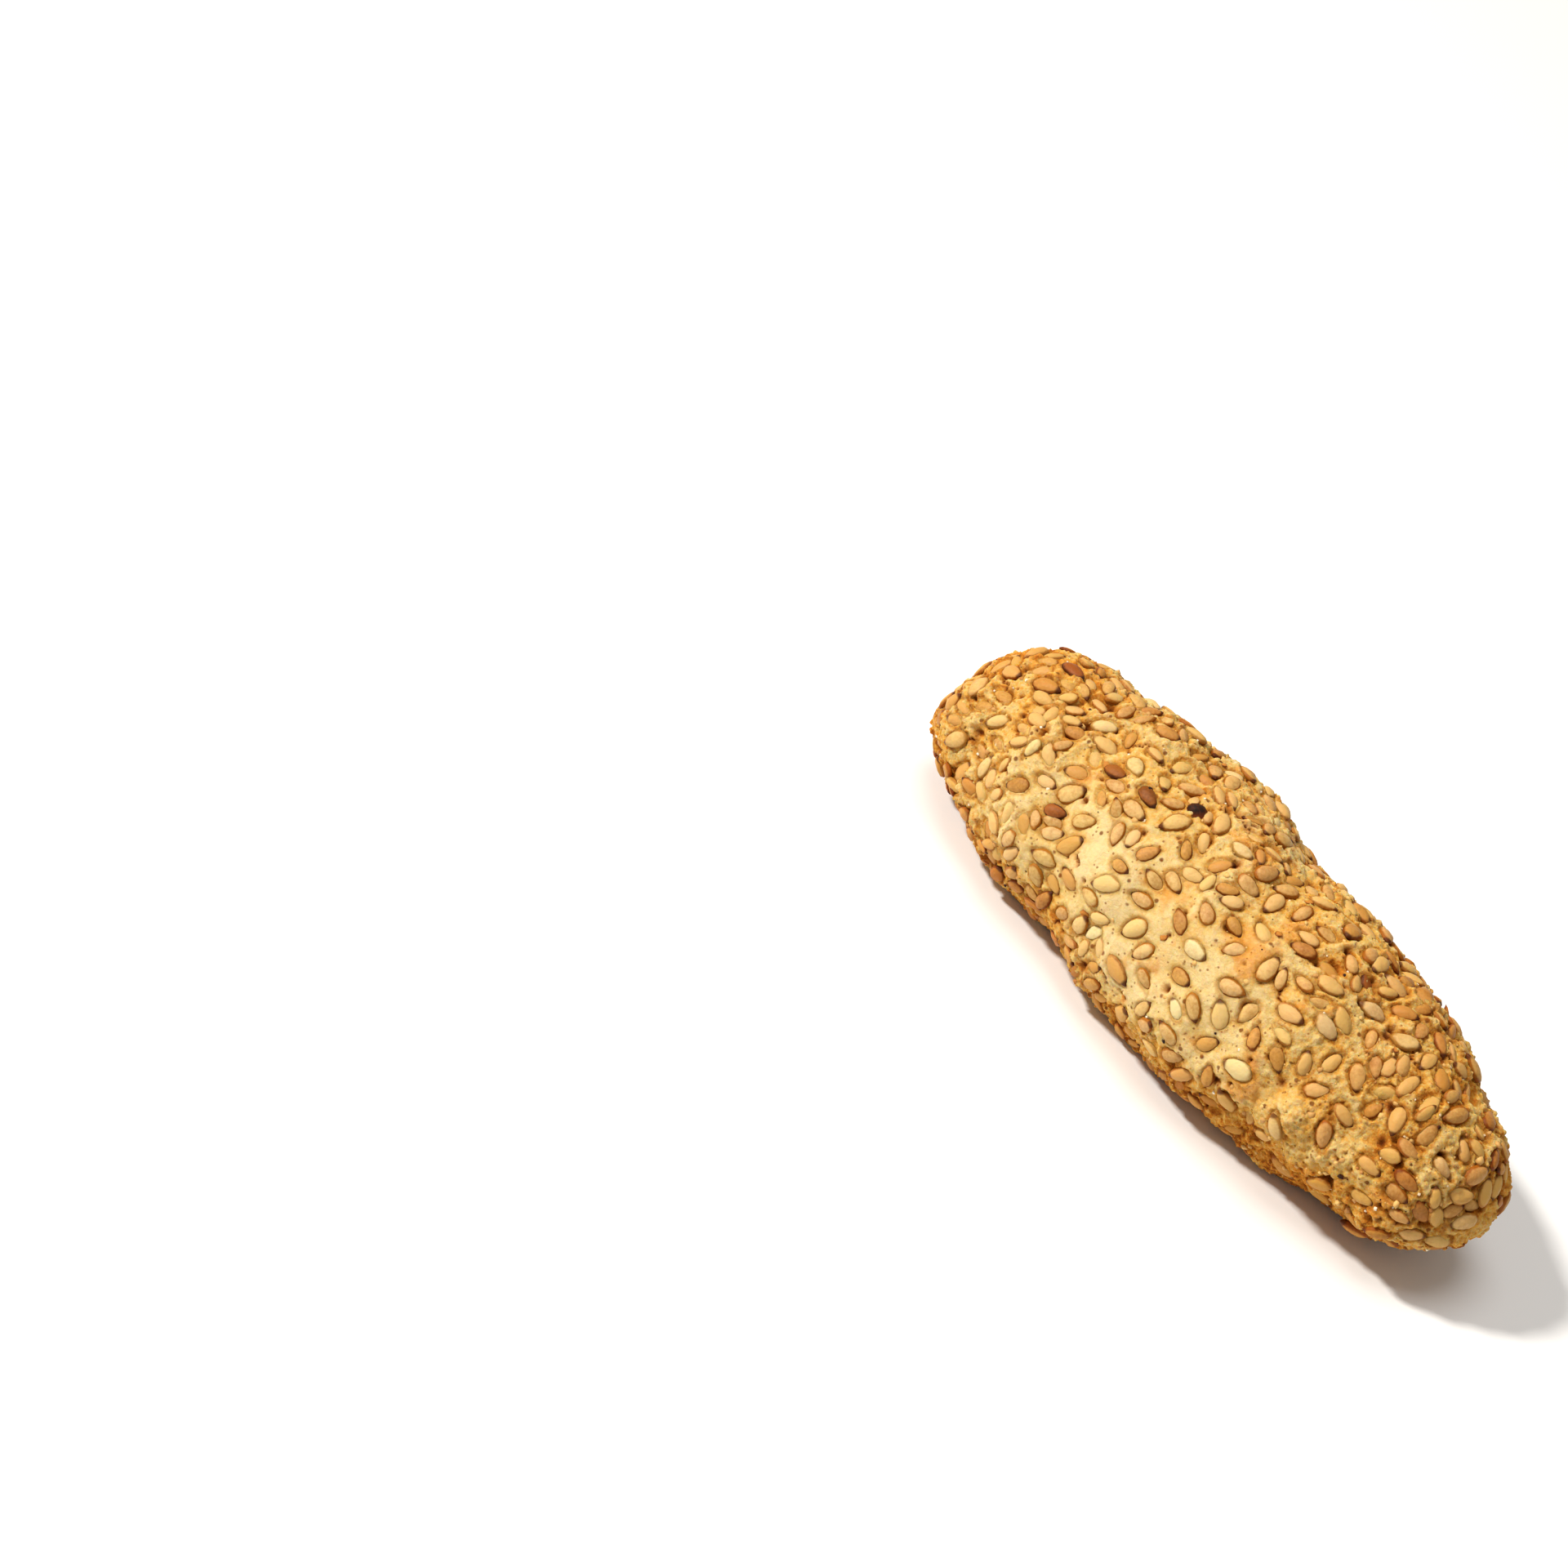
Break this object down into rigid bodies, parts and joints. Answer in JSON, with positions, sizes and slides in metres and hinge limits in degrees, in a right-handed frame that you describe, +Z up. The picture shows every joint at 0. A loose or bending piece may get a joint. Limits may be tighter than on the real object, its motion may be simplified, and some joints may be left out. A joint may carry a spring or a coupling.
{
  "type": "sesame cookie",
  "caption": "Baked finger of golden dough, fatter at one end and flat beneath, with teardrop sesame seeds pressed into its skin all over",
  "frame": {"origin": "under the middle of the cookie, on the surface that it rests on", "axes": "+X along the cookie towards its tapered end, +Y across it towards its thickly seeded far flank, +Z up from the flat base"},
  "size_m": [0.0849, 0.0327, 0.025],
  "materials": {
    "cookie": "dry baked crust, golden and matt, pale in the middle of the near face and browner at the ends and along the base, with straw-coloured to toasted sesame seeds"
  },
  "bodies": {
    "root": {"cookie": "cookie"}
  },
  "joints": []
}
